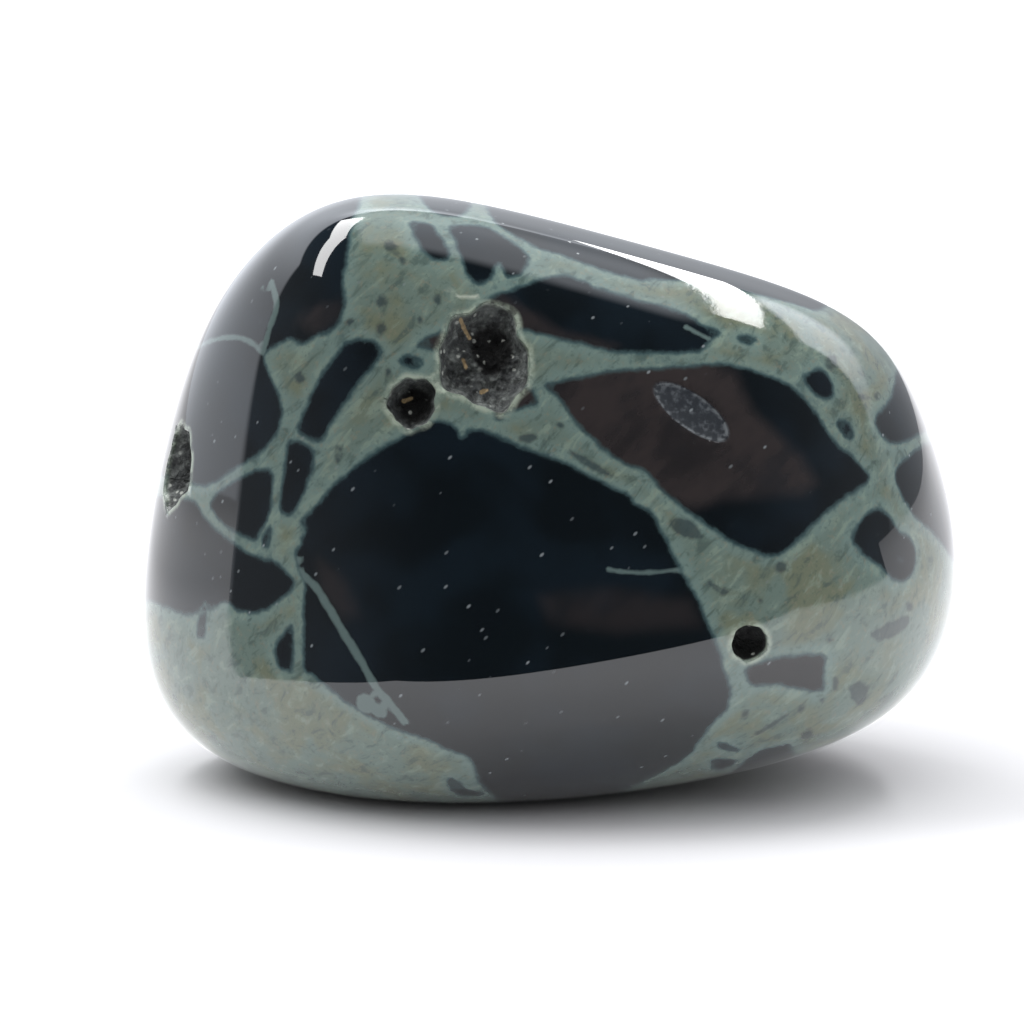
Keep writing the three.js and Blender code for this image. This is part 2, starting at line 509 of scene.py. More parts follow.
def skin_normals(offsets):
    """Outward directions of the skin, from how its level rises there."""
    shares = np.maximum(0, offsets @ FLAT_NORMALS.T / FLAT_DISTANCES)
    total = (shares ** CORNER_POWER).sum(-1, keepdims=True)
    worn = total ** (1 / CORNER_POWER)
    worn_slope = (shares ** (CORNER_POWER - 1)) @ (FLAT_NORMALS / FLAT_DISTANCES[:, None])
    worn_slope = worn_slope * total ** (1 / CORNER_POWER - 1)
    rest = np.maximum(0, -offsets[..., 2:3] / CENTRE[2])
    rest_slope = np.array((0.0, 0.0, -1 / CENTRE[2]))
    slope = worn ** (REST_POWER - 1) * worn_slope + rest ** (REST_POWER - 1) * rest_slope
    return unit(slope)


def on_skin(directions):
    """Points of the skin, from the centre, along unit directions."""
    return directions / skin_level(directions)[..., None]


# The photograph's frame

def camera_rays(pixels):
    offsets = (pixels - PICTURE_MIDDLE) * PIXEL
    targets = AIM + offsets[:, :1] * VIEW_RIGHT - offsets[:, 1:] * VIEW_UP
    return unit(targets - EYE)


def levels_on_rays(rays, along):
    return worn_level(EYE + rays * along[:, None] - CENTRE)


def nearest_on_rays(rays):
    """How far along each ray the stone's level is least, and that level."""
    low = np.full(len(rays), CAMERA_DISTANCE - SEARCH_REACH)
    high = np.full(len(rays), CAMERA_DISTANCE + SEARCH_REACH)
    for _ in range(NEAREST_ROUNDS):
        third = (high - low) / 3
        a = low + third
        b = high - third
        nearer = levels_on_rays(rays, a) < levels_on_rays(rays, b)
        high = np.where(nearer, b, high)
        low = np.where(nearer, low, a)
    along = (low + high) / 2
    return along, levels_on_rays(rays, along)


def shares_on_stone(pixels):
    """The share of the way from the stone's middle to each pixel that lies on the stone."""
    outward = pixels - CENTRE_PIXEL
    _, level = nearest_on_rays(camera_rays(pixels))
    seen = level < 1
    low = np.where(seen, 1.0, 0.0)
    high = np.ones(len(pixels))
    for _ in range(RIM_ROUNDS):
        middle = (low + high) / 2
        _, level = nearest_on_rays(camera_rays(CENTRE_PIXEL + outward * middle[:, None]))
        low = np.where(level < 1, middle, low)
        high = np.where(level < 1, high, middle)
    low[seen] = 1
    return low


def first_on_skin(rays):
    """Where each ray first meets the skin, from the centre."""
    far, _ = nearest_on_rays(rays)
    near = np.full(len(rays), CAMERA_DISTANCE - SEARCH_REACH)
    for _ in range(SKIN_ROUNDS):
        middle = (near + far) / 2
        inside = levels_on_rays(rays, middle) < 1
        far = np.where(inside, middle, far)
        near = np.where(inside, near, middle)
    return EYE + rays * far[:, None] - CENTRE


def pixels_to_directions(pixels):
    """Directions from the stone's centre for pixels on it, and past its rim for those off it."""
    pixels = np.asarray(pixels, float)
    outward = pixels - CENTRE_PIXEL
    share = shares_on_stone(pixels)
    rays = camera_rays(CENTRE_PIXEL + outward * share[:, None])
    offsets = first_on_skin(rays)
    found = unit(offsets)
    past = np.linalg.norm(outward, axis=1) * (1 - share) * PIXEL / np.linalg.norm(offsets, axis=1)
    onward = unit(rays - (rays * found).sum(1, keepdims=True) * found)
    return found * np.cos(past)[:, None] + onward * np.sin(past)[:, None]


def points_to_pixels(points):
    toward = points - EYE
    depth = -(toward @ VIEW_BACK)
    across = toward @ VIEW_RIGHT / depth * CAMERA_DISTANCE / PIXEL
    above = toward @ VIEW_UP / depth * CAMERA_DISTANCE / PIXEL
    return PICTURE_MIDDLE + np.stack((across, -above), axis=1)


def to_plane(directions):
    """Stereographic: the sphere of directions seen from behind the stone, flattened."""
    ahead = 1 + directions @ VIEW_BACK
    return np.stack((directions @ VIEW_RIGHT / ahead, directions @ VIEW_UP / ahead), axis=1)


def from_plane(flat):
    square = (flat ** 2).sum(1, keepdims=True)
    ahead = 2 / (1 + square)
    return flat[:, :1] * ahead * VIEW_RIGHT + flat[:, 1:] * ahead * VIEW_UP + (ahead - 1) * VIEW_BACK


# Outlines

def rounded(corners, closed):
    """One round of corner cutting, which leaves the slightly worn corners that shards have."""
    points = np.array(corners, float)
    after = np.roll(points, -1, axis=0)
    first = points * (1 - CORNER_CUT) + after * CORNER_CUT
    second = points * CORNER_CUT + after * (1 - CORNER_CUT)
    cut = np.stack((first, second), axis=1).reshape(-1, 2)
    if closed:
        return cut
    return np.concatenate((points[:1], cut[1:-2], points[-1:]))


def stepped(points, step, closed):
    """Points spread evenly along a line of any number of dimensions."""
    line = np.concatenate((points, points[:1])) if closed else points
    lengths = np.linalg.norm(np.diff(line, axis=0), axis=1)
    travelled = np.concatenate(((0,), np.cumsum(lengths)))
    count = max(3, int(round(travelled[-1] / step)))
    places = np.linspace(0, travelled[-1], count + 1)
    if closed:
        places = places[:-1]
    axes = [np.interp(places, travelled, line[:, axis]) for axis in range(line.shape[1])]
    return np.stack(axes, axis=1)


def grain_outline(x, y, radius):
    """A slightly uneven ring, in pixels."""
    count = max(8, int(2 * math.pi * radius * PIXEL / OUTLINE_STEP))
    angles = np.arange(count) * 2 * math.pi / count
    wobble = radius * (1 + 0.18 * np.sin(2 * angles + x) + 0.1 * np.sin(3 * angles + y))
    return np.stack((x + wobble * np.cos(angles), y + wobble * np.sin(angles)), axis=1)


def pixel_outline(corners, closed=True):
    return stepped(rounded(corners, closed), OUTLINE_STEP / PIXEL, closed)


def ring_points(line, closed):
    """Points to each side of a line in pixels, so that the mesh follows how it slopes away."""
    if closed:
        along = np.roll(line, -1, axis=0) - np.roll(line, 1, axis=0)
    else:
        along = np.gradient(line, axis=0)
    across = unit(np.stack((-along[:, 1], along[:, 0]), axis=1)) * RING_OFFSET / PIXEL
    halfway = (line + np.roll(line, -1, axis=0)) / 2 if closed else line
    return np.concatenate((halfway + across, halfway - across))


# Hollows

def has_crust(hollow):
    return hollow["crust"] > LEAST_CRUST


def hollow_frame(hollow):
    """The middle of a hollow on the skin, and its rightward, upward and outward directions."""
    out = direction(hollow["turn"], hollow["rise"])
    place = on_skin(out[None])[0]
    facing = skin_normals(place[None])[0]
    right = unit(np.cross((0.0, 0.0, 1.0), facing))
    up = np.cross(facing, right)
    lean = math.radians(hollow["lean"])
    leaned_right = right * math.cos(lean) - up * math.sin(lean)
    leaned_up = right * math.sin(lean) + up * math.cos(lean)
    return place, leaned_right, leaned_up, facing


def ragged(angles, hollow):
    """How a hollow's outline wavers, 1 on average."""
    size = 1
    for share, waves, turns in RAGGED_WAVES:
        size = size + share * hollow["crust"] * np.sin(waves * angles + turns * hollow["turn"])
    return size


def hollow_outline(hollow):
    place, right, up, _ = hollow_frame(hollow)
    girth = math.pi * (hollow["width"] + hollow["height"]) / 2
    count = int(girth / OUTLINE_STEP * HOLLOW_EDGE_FINENESS)
    angles = np.arange(count) * 2 * math.pi / count
    size = ragged(angles, hollow)
    across = np.cos(angles) * size * hollow["width"] / 2
    above = np.sin(angles) * size * hollow["height"] / 2
    return unit(place + across[:, None] * right + above[:, None] * up)


def hollow_samples(hollow):
    """Directions of closely set points all over a hollow."""
    place, right, up, _ = hollow_frame(hollow)
    step = HOLLOW_STEP if has_crust(hollow) else 2 * HOLLOW_STEP
    half_width = hollow["width"] * SAMPLED_SHARE
    half_height = hollow["height"] * SAMPLED_SHARE
    columns = np.arange(-half_width, half_width, step)
    rows = np.arange(-half_height, half_height, step)
    across, above = np.meshgrid(columns, rows)
    across = across + (np.arange(across.shape[0]) % 2)[:, None] * step / 2
    keep = (across / half_width) ** 2 + (above / half_height) ** 2 < 1
    return unit(place + across[keep][:, None] * right + above[keep][:, None] * up)


def hollow_places(hollow, offsets):
    """Across, above and how far from the middle, 1 at the edge, of points near a hollow."""
    place, right, up, facing = hollow_frame(hollow)
    local = offsets - place
    across = local @ right / (hollow["width"] / 2)
    above = local @ up / (hollow["height"] / 2)
    far = np.hypot(across, above) / ragged(np.arctan2(above, across), hollow)
    far[local @ facing < -BEHIND_HOLLOW] = 2 * BEHIND_HOLLOW
    return across, above, far


def crust_height(point, hollow):
    """Lumps of crust on a hollow's wall, in millimetres."""
    coarse = 0.45 - noise.voronoi(point * COARSE_LUMPS)[0][0]
    fine = 0.4 - noise.voronoi(point * FINE_LUMPS)[0][0]
    grit = noise.noise(point * CRUST_GRIT)
    return hollow["crust"] * (1.5 * coarse + 0.7 * fine + 0.25 * grit)


def sink_hollows(offsets):
    """Moves the points in the hollows inwards.

    Returns them, how deep in a hollow each is, 0 to 1, and how strong the painted shade deep in a hollow
    is there.
    """
    moved = offsets.copy()
    crust = np.zeros(len(offsets))
    painted_shade = np.zeros(len(offsets))
    for hollow in HOLLOWS.values():
        facing = hollow_frame(hollow)[3]
        across, above, far = hollow_places(hollow, offsets)
        if hollow["painted_shade_size"]:
            gap = np.hypot(across - hollow["painted_shade"][0], above - hollow["painted_shade"][1]) / hollow["painted_shade_size"]
            painted_shade = np.where(far < 1, np.clip(1.5 - 1.5 * gap, 0, 1), painted_shade)
        for i in np.nonzero(far < 1)[0]:
            bowl = (1 - far[i] ** 2) ** BOWL_POWER
            lumps = crust_height(Vector(offsets[i]), hollow) * min(1.0, LUMPS_RISE * (1 - far[i]))
            moved[i] -= facing * max(0.0, hollow["depth"] * bowl - lumps)
            if has_crust(hollow):
                crust[i] = min(1.0, 0.25 + CRUST_RISE * (1 - far[i]))
    return moved, crust, painted_shade


# The mesh

def sphere_lattice(count):
    """Directions spread evenly, along a spiral from pole to pole."""
    index = np.arange(count) + 0.5
    height = 1 - 2 * index / count
    turn = index * math.pi * (3 - math.sqrt(5))
    ring = np.sqrt(1 - height ** 2)
    return np.stack((ring * np.cos(turn), ring * np.sin(turn), height), axis=1)


def tree_of(points):
    tree = kdtree.KDTree(len(points))
    for i, point in enumerate(points):
        tree.insert(Vector(point), i)
    tree.balance()
    return tree


def distances_to(tree, points):
    return np.array([tree.find(Vector(point))[2] for point in points])


def all_outlines():
    """Every outline as (kind, directions), and the rings beside them."""
    outlines = []
    rings = []
    for kind, group in (("glass", SHARDS), ("cloudy", CLOUDY_SHARDS)):
        for corners in group.values():
            line = pixel_outline(corners)
            outlines.append((kind, pixels_to_directions(line)))
            rings.append(pixels_to_directions(ring_points(line, True)))
    for x, y, radius in GRAINS:
        outlines.append(("cloudy", pixels_to_directions(grain_outline(x, y, radius))))
        rings.append(pixels_to_directions(np.array([(x, y)])))
    for hollow in HOLLOWS.values():
        outlines.append(("hollow" if has_crust(hollow) else "chip", hollow_outline(hollow)))
    return outlines, np.concatenate(rings)


def all_veins():
    """Every vein as (half width, directions), and the rings beside them."""
    veins = []
    rings = []
    for half_width, corners in VEINS.values():
        line = pixel_outline(corners, closed=False)
        veins.append((half_width * PIXEL, pixels_to_directions(line)))
        rings.append(pixels_to_directions(ring_points(line, False)))
    return veins, np.concatenate(rings)


def thinned(points, tree, gap):
    return points[distances_to(tree, on_skin(points)) > gap]


def turns_left(corners):
    after = np.roll(corners, -1, axis=0)
    return (corners[:, 0] * after[:, 1] - corners[:, 1] * after[:, 0]).sum() > 0


def triangulate(outlines, veins, loose):
    """Directions and triangles of an open mesh with edges along the outlines and veins."""
    groups = [line for _, line in outlines] + [line for _, line in veins] + [loose]
    starts = np.concatenate(((0,), np.cumsum([len(group) for group in groups])))
    flat = to_plane(np.concatenate(groups))
    edges = []
    faces = []
    for i, (_, line) in enumerate(outlines):
        corners = list(range(starts[i], starts[i] + len(line)))
        faces.append(corners if turns_left(flat[corners]) else corners[::-1])
    for i, (_, line) in enumerate(veins):
        first = starts[len(outlines) + i]
        edges += [(first + k, first + k + 1) for k in range(len(line) - 1)]
    found = delaunay_2d_cdt([Vector(p) for p in flat], edges, faces, 0, 1e-7, True)
    directions = from_plane(np.array([tuple(p) for p in found[0]]))
    triangles = [list(face) for face in found[2]]
    owners = [list(face) for face in found[5]]
    return directions, triangles, owners


def close_back(directions, triangles, owners):
    """A fan to the point straight behind the stone closes the mesh there."""
    sides = dict.fromkeys((a, b) for face in triangles for a, b in zip(face, face[1:] + face[:1]))
    rim = [(a, b) for a, b in sides if (b, a) not in sides]
    pole = len(directions)
    for a, b in rim:
        triangles.append([b, a, pole])
        owners.append([])
    return np.concatenate((directions, -VIEW_BACK[None]))


def lay_out_mesh(outlines, rings, veins, vein_rings):
    """Directions and triangles of the closed mesh, and the outlines that own each triangle."""
    hollow_points = np.concatenate([hollow_samples(hollow) for hollow in HOLLOWS.values()])
    drawn = np.concatenate([line for _, line in outlines] + [line for _, line in veins])
    drawn_tree = tree_of(on_skin(drawn))
    rings = thinned(np.concatenate((rings, vein_rings)), drawn_tree, 0.6 * RING_OFFSET)
    hollow_points = thinned(hollow_points, drawn_tree, 0.5 * HOLLOW_STEP)
    placed_tree = tree_of(on_skin(np.concatenate((drawn, rings, hollow_points))))
    lattice = thinned(sphere_lattice(LATTICE_POINTS), placed_tree, OUTLINE_STEP)
    loose = np.concatenate((rings, hollow_points, lattice))
    directions, triangles, owners = triangulate(outlines, veins, loose)
    return close_back(directions, triangles, owners), triangles, owners


# What each vertex of the mesh holds

def line_tree(lines, closed):
    return tree_of(np.concatenate([stepped(on_skin(line), SEARCH_STEP, closed) for line in lines]))


def inside_kind(kind, count, triangles, owners, outlines):
    """True for each vertex whose every face lies in an outline of this kind."""
    inside = np.ones(count, bool)
    for triangle, owned_by in zip(triangles, owners):
        if not any(outlines[i][0] == kind for i in owned_by if i < len(outlines)):
            inside[triangle] = False
    return inside


def outline_depths(kind, offsets, triangles, owners, outlines):
    """Millimetres inside the outlines of a kind, negative outside them."""
    inside = inside_kind(kind, len(offsets), triangles, owners, outlines)
    tree = line_tree([line for each, line in outlines if each == kind], True)
    return distances_to(tree, offsets) * np.where(inside, 1, -1)


def vein_gaps(veins, offsets):
    """Millimetres outside the veins and their blobs, negative inside them."""
    gaps = np.full(len(offsets), FAR_AWAY)
    for half_width, line in veins:
        gaps = np.minimum(gaps, distances_to(line_tree([line], False), offsets) - half_width)
    for x, y, radius in VEIN_BLOBS:
        middle = on_skin(pixels_to_directions(np.array([(x, y)])))[0]
        gaps = np.minimum(gaps, np.linalg.norm(offsets - middle, axis=1) - radius * PIXEL)
    return gaps


def polygon_depth(pixels, corners):
    """Pixels inside an outline, negative outside it."""
    corners = np.array(corners, float)
    after = np.roll(corners, -1, axis=0)
    inside = np.zeros(len(pixels), bool)
    nearest = np.full(len(pixels), np.inf)
    for a, b in zip(corners, after):
        along = b - a
        share = np.clip(((pixels - a) @ along) / (along @ along), 0, 1)
        nearest = np.minimum(nearest, np.linalg.norm(pixels - a - share[:, None] * along, axis=1))
        crosses = (a[1] > pixels[:, 1]) != (b[1] > pixels[:, 1])
        rise = along[1] if along[1] else TINY
        inside ^= crosses & (pixels[:, 0] < along[0] * (pixels[:, 1] - a[1]) / rise + a[0])
    return np.where(inside, nearest, -nearest)


def brown_shares(points, facing):
    pixels = points_to_pixels(points)
    share = np.zeros(len(points))
    for corners, fade, strength in BROWN_ZONES.values():
        depth = polygon_depth(pixels, corners)
        share = np.maximum(share, strength * np.clip(0.5 + depth / fade, 0, 1))
    return share * (facing > 0)


def broken_rock(points, rule, random):
    """How deep inside a shard points are, where the rock breaks up by a seeded rule."""
    cell = rule["cell"]
    steps = np.arange(-BREAKS_REACH, BREAKS_REACH, cell)
    grid = np.stack(np.meshgrid(steps, steps, steps, indexing="ij"), axis=-1).reshape(-1, 3)
    seeds = grid + random.uniform(0.08, 0.92, grid.shape) * cell
    kept = random.uniform(size=len(seeds)) > rule["missing"]
    kept &= seeds[:, 1] > rule["from_y"]
    shrink = random.uniform(rule["thin"], rule["thick"], len(seeds))
    tree = tree_of(seeds)
    near = np.array([[found[1] for found in tree.find_n(Vector(p), NEIGHBOURS)] for p in points])
    gaps = np.linalg.norm(points[:, None] - seeds[near], axis=2)
    own = near[:, 0]
    apart = np.linalg.norm(seeds[near[:, 1:]] - seeds[own][:, None], axis=2)
    to_edges = (gaps[:, 1:] ** 2 - gaps[:, :1] ** 2) / (2 * apart)
    return np.where(kept[own], to_edges.min(1) - shrink[own], -FAR_AWAY)


def side_shards(offsets, drawn, past_rim):
    """How deep in a shard the sides and the back are, kept clear of the drawn shards."""
    slow = 0.55 * np.sin(offsets[:, [1, 2, 0]] * 0.9 + 1.0)
    quick = 0.3 * np.sin(offsets[:, [2, 0, 1]] * 2.1)
    wandering = offsets + (slow + quick)
    random = np.random.default_rng(SIDE_SEED)
    depth = np.full(len(offsets), -FAR_AWAY)
    behind = past_rim > -BEFORE_RIM
    for rule in SIDE_BREAKS:
        found = broken_rock(wandering[behind], rule, random)
        depth[behind] = np.maximum(depth[behind], found)
    depth = np.minimum(depth, past_rim - RIM_CLEARANCE)
    return np.minimum(depth, -drawn - DRAWN_CLEARANCE)


def line_gaps(lines, offsets):
    """Millimetres from lines given in pixels."""
    return distances_to(line_tree([pixels_to_directions(line) for line in lines], False), offsets)


def make_stone_mesh():
    outlines, rings = all_outlines()
    veins, vein_rings = all_veins()
    directions, triangles, owners = lay_out_mesh(outlines, rings, veins, vein_rings)
    offsets = on_skin(directions)
    normals = skin_normals(offsets)
    facing = -(unit(offsets + CENTRE - EYE) * normals).sum(1)
    moved, crust, painted_shade = sink_hollows(offsets)
    drawn = outline_depths("glass", offsets, triangles, owners, outlines)
    glass = np.maximum(drawn, side_shards(offsets, drawn, -facing * MIDDLE_RADIUS))
    cloudy = outline_depths("cloudy", offsets, triangles, owners, outlines)
    rims = line_tree([line for kind, line in outlines if kind == "hollow"], True)
    scars = [pixel_outline(line, closed=False) for line in SCARS.values()]
    crystals = [stepped(np.array(ends, float), CRYSTAL_STEP, False) for ends in CRYSTALS]
    chip_far = hollow_places(HOLLOWS["chip"], offsets)[2]

    mesh = bpy.data.meshes.new("stone_skin")
    mesh.from_pydata((moved + CENTRE) * MM, [], triangles)
    mesh.update()
    held = {
        "glass": np.clip(glass, -FAR_AWAY, FAR_AWAY),
        "cloudy": np.clip(cloudy, -FAR_AWAY, FAR_AWAY),
        "vein": np.clip(vein_gaps(veins, offsets), -FAR_AWAY, FAR_AWAY),
        "crust": crust,
        "painted_shade": painted_shade,
        "crystal": line_gaps(crystals, offsets),
        "hollow_edge": distances_to(rims, offsets),
        "scar": line_gaps(scars, offsets),
        "chip": np.clip(1 - chip_far, -1, 1),
        "brown": brown_shares(offsets + CENTRE, facing),
    }
    for name, values in held.items():
        attribute = mesh.attributes.new(name, "FLOAT", "POINT")
        attribute.data.foreach_set("value", np.asarray(values, np.float32))
    smooth_with(mesh, normals, crust, chip_far)
    return mesh


def smooth_with(mesh, normals, crust, chip_far):
    """The skin takes the worn shape's own normals, and the hollows those of their faces."""
    mesh.polygons.foreach_set("use_smooth", np.ones(len(mesh.polygons), bool))
    mesh.update()
    own = np.empty(len(mesh.vertices) * 3)
    mesh.vertices.foreach_get("normal", own)
    own = own.reshape(-1, 3)
    in_chip = np.clip((CHIP_REACH - chip_far) * CHIP_SHARPNESS, 0, 1)
    keep = np.maximum((crust > 0).astype(float), in_chip)[:, None]
    blended = unit(normals * (1 - keep) + own * keep)
    mesh.normals_split_custom_set_from_vertices([Vector(n) for n in blended])


# Materials

class Nodes:
    """Short ways to make and link shader nodes in one tree."""

    def __init__(self, tree):
        self.tree = tree

    def add(self, kind, inputs=None, **settings):
        node = self.tree.nodes.new(kind)
        for name, value in settings.items():
            setattr(node, name, value)
        for name, value in (inputs or {}).items():
            self.feed(node.inputs[name], value)
        return node

    def feed(self, socket, value):
        if isinstance(value, bpy.types.NodeSocket):
            self.tree.links.new(value, socket)
        else:
            socket.default_value = value

    def math(self, operation, a, b):
        node = self.add("ShaderNodeMath", operation=operation)
        self.feed(node.inputs[0], a)
        self.feed(node.inputs[1], b)
        return node.outputs[0]

    def times(self, *factors):
        product = factors[0]
        for factor in factors[1:]:
            product = self.math("MULTIPLY", product, factor)
        return product

    def ramp(self, value, low, high, start=0.0, end=1.0, smooth=True):
        node = self.add("ShaderNodeMapRange", interpolation_type="SMOOTHSTEP" if smooth else "LINEAR")
        names = ("Value", "From Min", "From Max", "To Min", "To Max")
        for name, amount in zip(names, (value, low, high, start, end)):
            self.feed(node.inputs[name], amount)
        return node.outputs[0]

    def mix(self, share, a, b):
        node = self.add("ShaderNodeMix", data_type="RGBA")
        self.feed(node.inputs[0], share)
        self.feed(node.inputs[6], a if isinstance(a, bpy.types.NodeSocket) else (*a, 1.0))
        self.feed(node.inputs[7], b if isinstance(b, bpy.types.NodeSocket) else (*b, 1.0))
        return node.outputs[2]

    def noise(self, where, scale, detail=3.0, roughness=0.55, distortion=0.0):
        inputs = dict(Vector=where, Scale=scale, Detail=detail, Roughness=roughness, Distortion=distortion)
        return self.add("ShaderNodeTexNoise", inputs).outputs["Fac"]

    def cells(self, where, scale):
        """How far the middle of a point's cell is, and two numbers drawn for the cell."""
        cells = self.add("ShaderNodeTexVoronoi", {"Vector": where, "Scale": scale}, feature="F1")
        drawn = self.add("ShaderNodeSeparateColor", {"Color": cells.outputs["Color"]})
        return cells.outputs["Distance"], drawn.outputs["Red"], drawn.outputs["Blue"]

    def scaled(self, vector, amount):
        node = self.add("ShaderNodeVectorMath", operation="SCALE")
        self.feed(node.inputs[0], vector)
        self.feed(node.inputs["Scale"], amount)
        return node.outputs[0]

    def attribute(self, name):
        return self.add("ShaderNodeAttribute", attribute_name=name).outputs["Fac"]


def linear(value):
    """The light behind a screen value out of 255."""
    value = value / 255
    return value / 12.92 if value <= 0.04045 else ((value + 0.055) / 1.055) ** 2.4


def seen(name):
    return tuple(linear(value) / LIGHT_LEVEL for value in COLOURS[name])


def stone_millimetres(n):
    return n.scaled(n.add("ShaderNodeTexCoord").outputs["Object"], 1 / MM)


def drawn_out(n, where, stretch, squeeze):
    """Coordinates in which texture runs up to the right, as the grinding marks do."""
    turn = (0.0, math.radians(-45), 0.0)
    settings = dict(Vector=where, Rotation=turn, Scale=(stretch, 1.0, squeeze))
    return n.add("ShaderNodeMapping", settings, vector_type="TEXTURE").outputs[0]


def matrix_colour(n, where, depth, fine):
    """Sage green rock flour: olive away from the glass, teal grey beside it, finely mottled."""
    streaks = n.noise(drawn_out(n, where, 2.2, 0.7), 1.7, 4.0, 0.6, 0.5)
    blotches = n.noise(where, 0.5, 3.0, 0.55, 0.4)
    colour = n.mix(n.ramp(blotches, 0.42, 0.62), seen("sage"), seen("olive"))
    colour = n.mix(n.ramp(depth, *TEAL_EDGE, 0.0, 0.8), colour, seen("teal"))
    colour = n.mix(n.ramp(streaks, 0.52, 0.70, 0.0, 0.55), colour, seen("pale sage"))
    colour = n.mix(n.ramp(streaks, 0.48, 0.32, 0.0, 0.7), colour, seen("dark sage"))
    colour = n.mix(n.ramp(fine, 0.54, 0.70, 0.0, 0.45), colour, seen("tan flour"))
    return n.mix(n.ramp(fine, 0.44, 0.30, 0.0, 0.4), colour, seen("dark sage"))


def glass_colour(n, where):
    """Black glass, faintly blue in clouds, with brown tints in wisps."""
    cloud = n.noise(where, 0.35, 2.0, 0.5)
    wisps = n.noise(drawn_out(n, where, 3.0, 1.0), 0.9, 3.0, 0.6)
    colour = n.mix(n.ramp(cloud, 0.42, 0.66), seen("black glass"), seen("blue glass"))
    brown = n.times(n.attribute("brown"), n.ramp(wisps, 0.3, 0.6, 0.5, 1.0))
    return n.mix(brown, colour, seen("brown glass"))


def breccia_colour(n, where, depth, wave, fine):
    """Glass in the matrix, with the cloudy shards, and the veins that cross the glass."""
    colour = n.mix(n.ramp(depth, *BORDER_EDGE), matrix_colour(n, where, depth, fine), seen("border"))
    colour = n.mix(n.ramp(depth, *GLASS_EDGE), colour, glass_colour(n, where))
    grain = n.ramp(n.math("ADD", n.attribute("cloudy"), wave), *CLOUDY_EDGE, 0.0, 0.75)
    colour = n.mix(grain, colour, seen("cloudy"))
    vein = n.math("ADD", n.attribute("vein"), n.times(wave, 0.6))
    vein_share = n.times(n.ramp(vein, *VEIN_EDGE, 0.0, 0.85), n.ramp(depth, *VEINED_EDGE))
    return n.mix(vein_share, colour, seen("vein"))


def scarred(n, colour, wave, patchy):
    """Whitish scuffs round the hollows and along the arc."""
    halo = n.ramp(n.attribute("hollow_edge"), *HALO_EDGE, 0.0, 0.85)
    colour = n.mix(n.times(halo, patchy), colour, seen("halo"))
    scar = n.ramp(n.math("ADD", n.attribute("scar"), wave), *SCAR_EDGE, 0.0, 0.9)
    return n.mix(n.times(scar, patchy), colour, seen("scar"))


def crust_colour(n, where):
    """Drusy crust of the hollows: grey translucent grains with painted glints, painted black shade deep in
    the hollow, a few crystals tan.
    """
    middle, red, blue = n.cells(where, 4.2)
    soft = n.noise(drawn_out(n, where, 1.5, 0.8), 1.9, 4.0, 0.7)
    colour = n.mix(n.ramp(soft, 0.40, 0.60), seen("charcoal"), seen("grey"))
    colour = n.mix(n.ramp(middle, 0.1, 0.6, 0.0, 0.6), colour, seen("charcoal"))
    colour = n.mix(n.ramp(red, 0.5, 0.9, 0.0, 0.5), colour, seen("black"))
    # Painted shade: the crust turns black deep in the hollow, round the place given for it
    painted_shade = n.math("SUBTRACT", n.attribute("painted_shade"), n.times(soft, 0.3))
    colour = n.mix(n.ramp(painted_shade, 0.05, 0.45, 0.0, 0.96), colour, seen("black"))
    # Painted glints: a few grains of the crust lit near white
    painted_glint = n.times(n.ramp(blue, 0.86, 0.92), n.ramp(middle, 0.4, 0.2), 0.75)
    colour = n.mix(painted_glint, colour, seen("painted_glint"))
    near = n.math("ADD", n.attribute("crystal"), n.times(soft, 0.16))
    return n.mix(n.ramp(near, *CRYSTAL_EDGE, 0.0, 0.9), colour, seen("tan crystal"))


def chip_colour(n, grains):
    """The matte flake scar: bluish grey, paler in scuffed grains, with a painted highlight, broken up by
    those grains, towards its edge.
    """
    # Painted highlight: paler towards the chip's rim, where its grains show
    edge = n.ramp(n.attribute("chip"), 0.10, 0.26, 0.7, 0.0)
    colour = n.mix(n.ramp(grains, 0.45, 0.7), seen("chip"), seen("scuffed chip"))
    return n.mix(n.times(edge, n.ramp(grains, 0.4, 0.55)), colour, seen("chip rim highlight"))


def specks(n, where, depth):
    """Fine dust on the polish, drawn out towards the upper right, and fainter on the matrix."""
    middle, red, _ = n.cells(drawn_out(n, where, 1.8, 0.9), SPECKS_PER_MM)
    spot = n.ramp(middle, SPECK_SIZE, SPECK_SIZE * 0.4)
    return n.times(n.ramp(red, LEAST_SPECK, 1.0), spot, n.ramp(depth, -0.2, 0.1, 0.35, 1.0))


